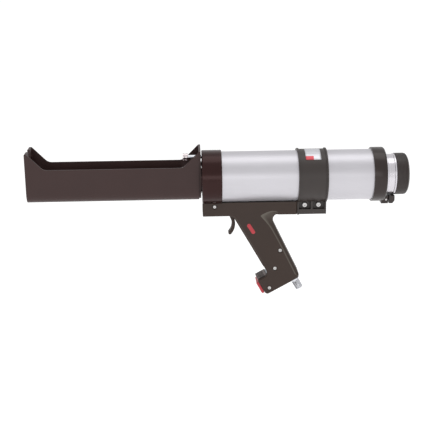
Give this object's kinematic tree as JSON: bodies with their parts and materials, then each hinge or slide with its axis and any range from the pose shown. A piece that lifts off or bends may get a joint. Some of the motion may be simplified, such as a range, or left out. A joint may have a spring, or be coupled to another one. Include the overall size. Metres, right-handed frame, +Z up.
{
  "type": "caulking gun",
  "caption": "Air-powered caulking gun with a half-open tray for a side-by-side two-tube cartridge, a round air cylinder and a pistol grip.",
  "frame": {"origin": "on the air cylinder's axis, at the inner face of the tray's front plate, where the cartridge's front end stops", "axes": "+X runs from the nozzle end to the rear knob, +Z is up and away from the grip, the user's left side is -Y"},
  "size_m": [0.5991, 0.087, 0.2405],
  "materials": {
    "tray_paint": "satin powder coat",
    "zinc_steel": "zinc plated",
    "bronze_anodised": "gloss dark bronze anodised",
    "silver_anodised": "satin anodised",
    "nitrile_rubber": "moulded",
    "dark_anodised": "satin dark anodised",
    "turned_aluminium": "turned bright",
    "bearing_bronze": "machined",
    "plain_aluminium": "machined",
    "hard_chrome": "ground and plated",
    "plated_pusher": "turned and plated",
    "bearing_plastic": "machined",
    "clamp_nylon": "moulded, glass filled",
    "grip_nylon": "moulded, fine texture",
    "red_plastic": "moulded",
    "plate_foil": "printed foil, blank",
    "tube_blue": "extruded",
    "knob_grey": "moulded, ribbed",
    "spring_steel": "drawn wire"
  },
  "bodies": {
    "gun": {"cartridge_tray": "tray_paint", "tray_front_plate": "tray_paint", "tray_shoe": "tray_paint", "tray_rear_plate": "tray_paint", "tray_screws": "zinc_steel", "front_head": "bronze_anodised", "cylinder_tube": "silver_anodised", "cylinder_gaskets": "nitrile_rubber", "end_cap": "dark_anodised", "cap_ring": "turned_aluminium", "main_rod_bush": "bearing_bronze", "small_rod_bush": "bearing_bronze", "rod_seals": "nitrile_rubber", "transfer_tube": "plain_aluminium", "clamp_band": "clamp_nylon", "clamp_screws": "zinc_steel", "clamp_nuts": "zinc_steel", "rating_plate": "plate_foil", "grip_shell_left": "grip_nylon", "grip_shell_right": "grip_nylon", "shell_screws": "zinc_steel", "head_screw": "zinc_steel", "grip_badges": "red_plastic", "trigger_pin": "zinc_steel", "valve_body": "plain_aluminium", "valve_spring": "spring_steel", "valve_cap": "bearing_plastic", "feed_tube": "tube_blue", "supply_tube": "tube_blue", "exhaust_filter": "bearing_bronze", "inlet_manifold": "plain_aluminium", "inlet_nipple": "hard_chrome", "regulator_body": "plain_aluminium", "foot_cap": "red_plastic", "latch_pin": "zinc_steel", "latch_spring": "spring_steel"},
    "ram": {"piston": "plain_aluminium", "piston_seals": "nitrile_rubber", "piston_guide_ring": "bearing_plastic", "rod_nut": "zinc_steel", "main_rod": "hard_chrome", "small_rod": "hard_chrome", "main_pusher": "plated_pusher", "small_pusher": "plated_pusher", "pusher_screw": "zinc_steel"},
    "trigger_lever": {"trigger": "grip_nylon"},
    "spool": {"valve_spool": "bearing_plastic", "spool_seals": "nitrile_rubber"},
    "regulator": {"regulator_knob": "knob_grey", "regulator_spindle": "zinc_steel"},
    "selector": {"selector_knob": "clamp_nylon", "selector_spindle": "zinc_steel", "knob_screw": "zinc_steel"},
    "latch": {"knob_latch": "clamp_nylon"}
  },
  "joints": [
    {"name": "ram_slide", "type": "slide", "parent": "gun", "child": "ram", "axis": [-1, 0, 0], "range_m": [0, 0.205]},
    {"name": "trigger_pull", "type": "hinge", "parent": "gun", "child": "trigger_lever", "pos_m": [0.3187, 0, -0.047], "axis": [0, -1, 0], "range_deg": [0, 14], "stiffness_Nm_per_rad": 0.8, "springref_deg": -11.46},
    {"name": "spool_slide", "type": "slide", "parent": "gun", "child": "spool", "axis": [1, 0, 0], "range_m": [0, 0.0052], "deforming": ["valve_spring"]},
    {"name": "regulator_turn", "type": "hinge", "parent": "gun", "child": "regulator", "pos_m": [0.3583, 0, -0.1724], "axis": [-0.8763, 0, -0.4818], "range_deg": [0, 270]},
    {"name": "selector_turn", "type": "hinge", "parent": "gun", "child": "selector", "pos_m": [0.5745, 0, 0], "axis": [1, 0, 0], "range_deg": [0, 90]},
    {"name": "latch_press", "type": "hinge", "parent": "gun", "child": "latch", "pos_m": [0.5625, 0, -0.04], "axis": [0, 1, 0], "range_deg": [0, 8], "stiffness_Nm_per_rad": 0.5, "springref_deg": -8.59}
  ],
  "couplings": [
    {"joint": "spool_slide", "follows": "trigger_pull", "m_per_rad": 0.0201}
  ]
}
